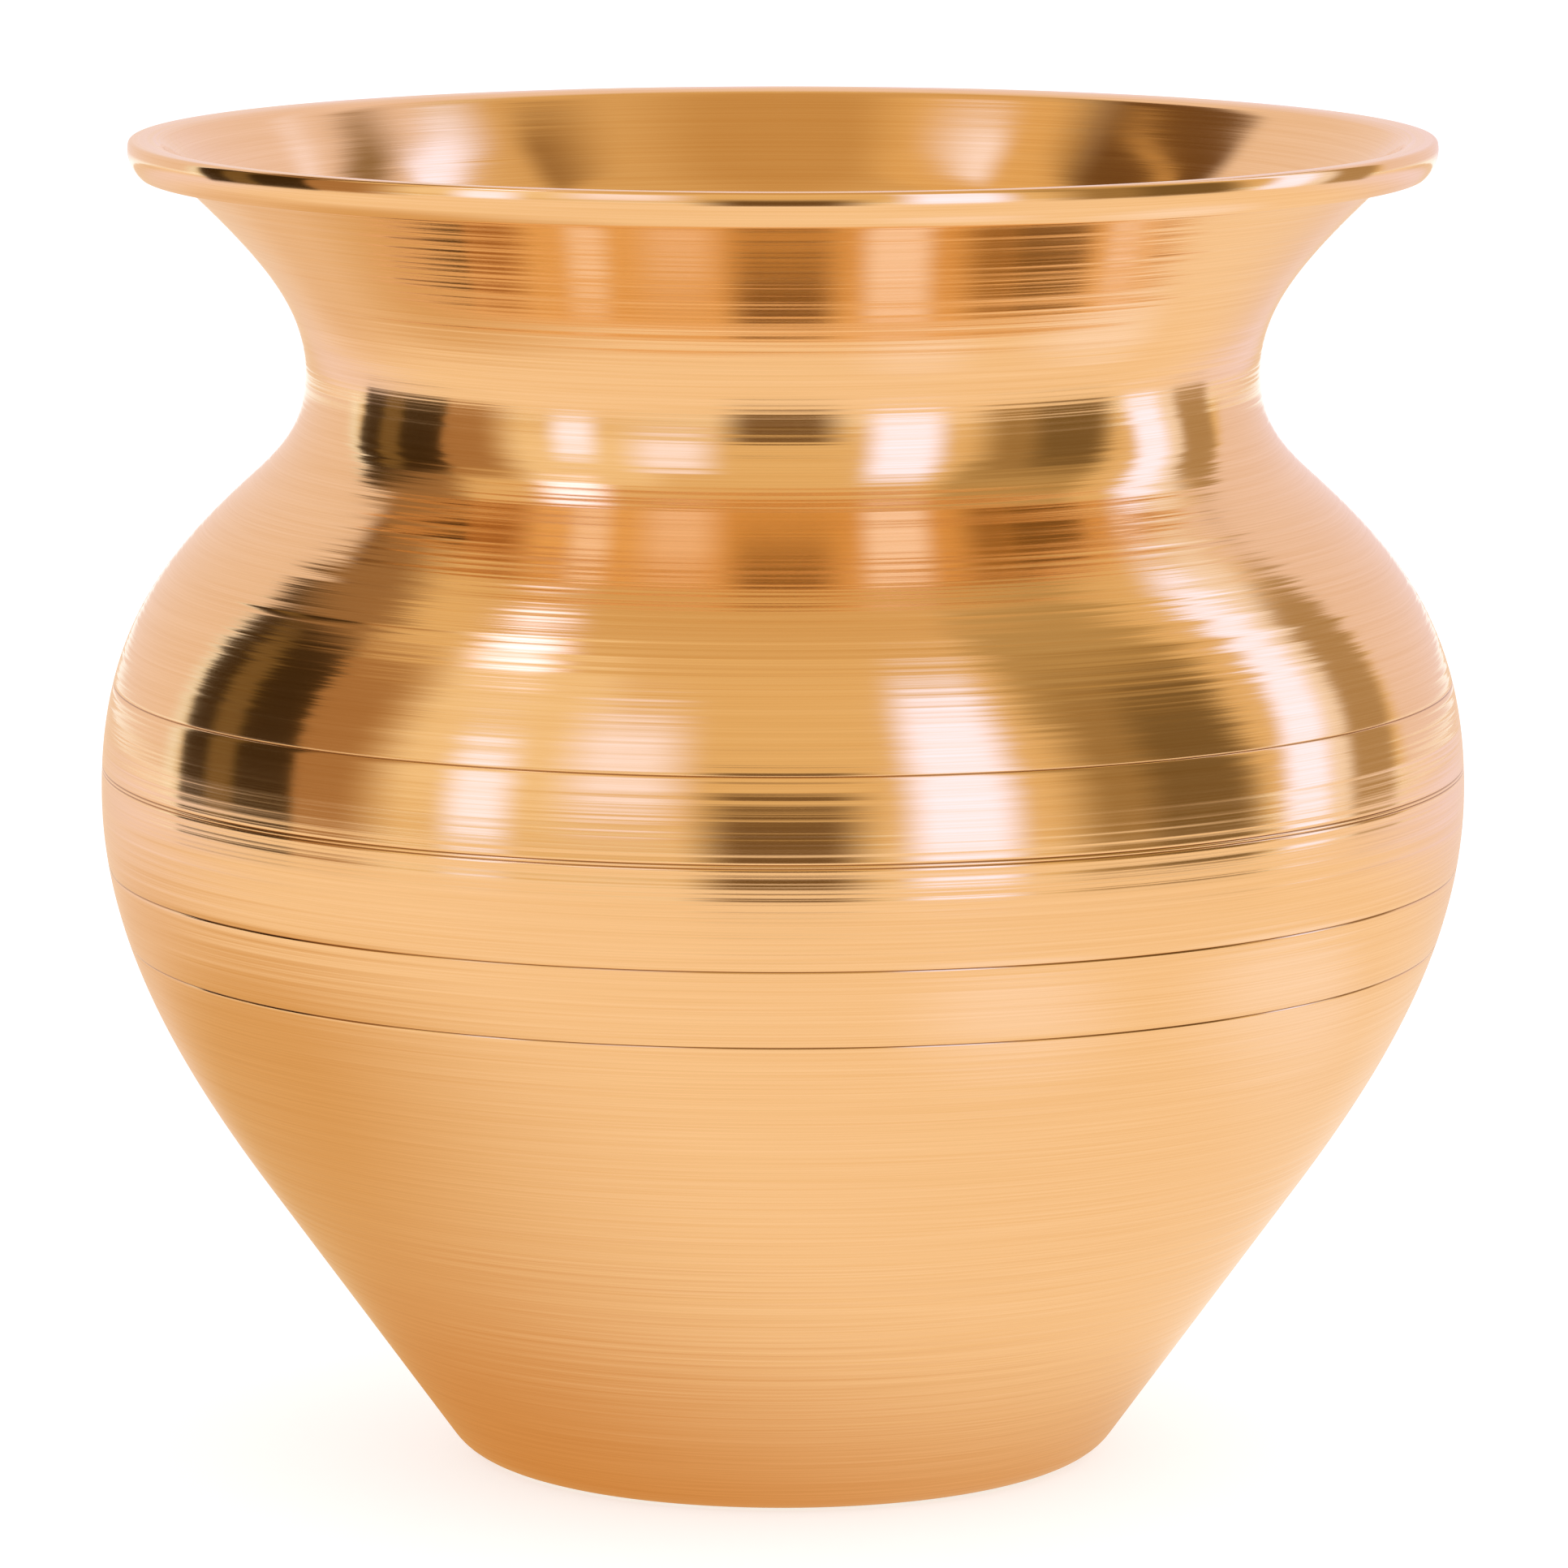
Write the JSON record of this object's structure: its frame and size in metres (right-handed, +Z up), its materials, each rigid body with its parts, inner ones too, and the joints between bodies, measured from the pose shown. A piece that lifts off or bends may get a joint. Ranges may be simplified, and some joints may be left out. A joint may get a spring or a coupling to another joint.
{
  "type": "kalash pot",
  "caption": "Round-bellied brass water pot with a flared mouth, rolled lip, narrow neck, incised lines round the belly and a tapering lower body on a small flat foot",
  "frame": {"origin": "centre of the foot, in the plane the pot stands on", "axes": "+Z up along the pot's axis; X and Y lie in the plane it stands on and are interchangeable, because the pot is round"},
  "size_m": [0.105, 0.105, 0.102],
  "materials": {
    "brass_sheet": "turned and buffed, fine marks round the axis",
    "braze": "brazing brass, turned flush outside, as run inside",
    "rim_wire": "drawn wire"
  },
  "bodies": {
    "root": {"lower_bowl": "brass_sheet", "shoulder_shell": "brass_sheet", "mouth_collar": "brass_sheet", "rim_wire": "rim_wire", "lip_braze": "braze", "neck_braze": "braze", "belly_braze": "braze"}
  },
  "joints": []
}
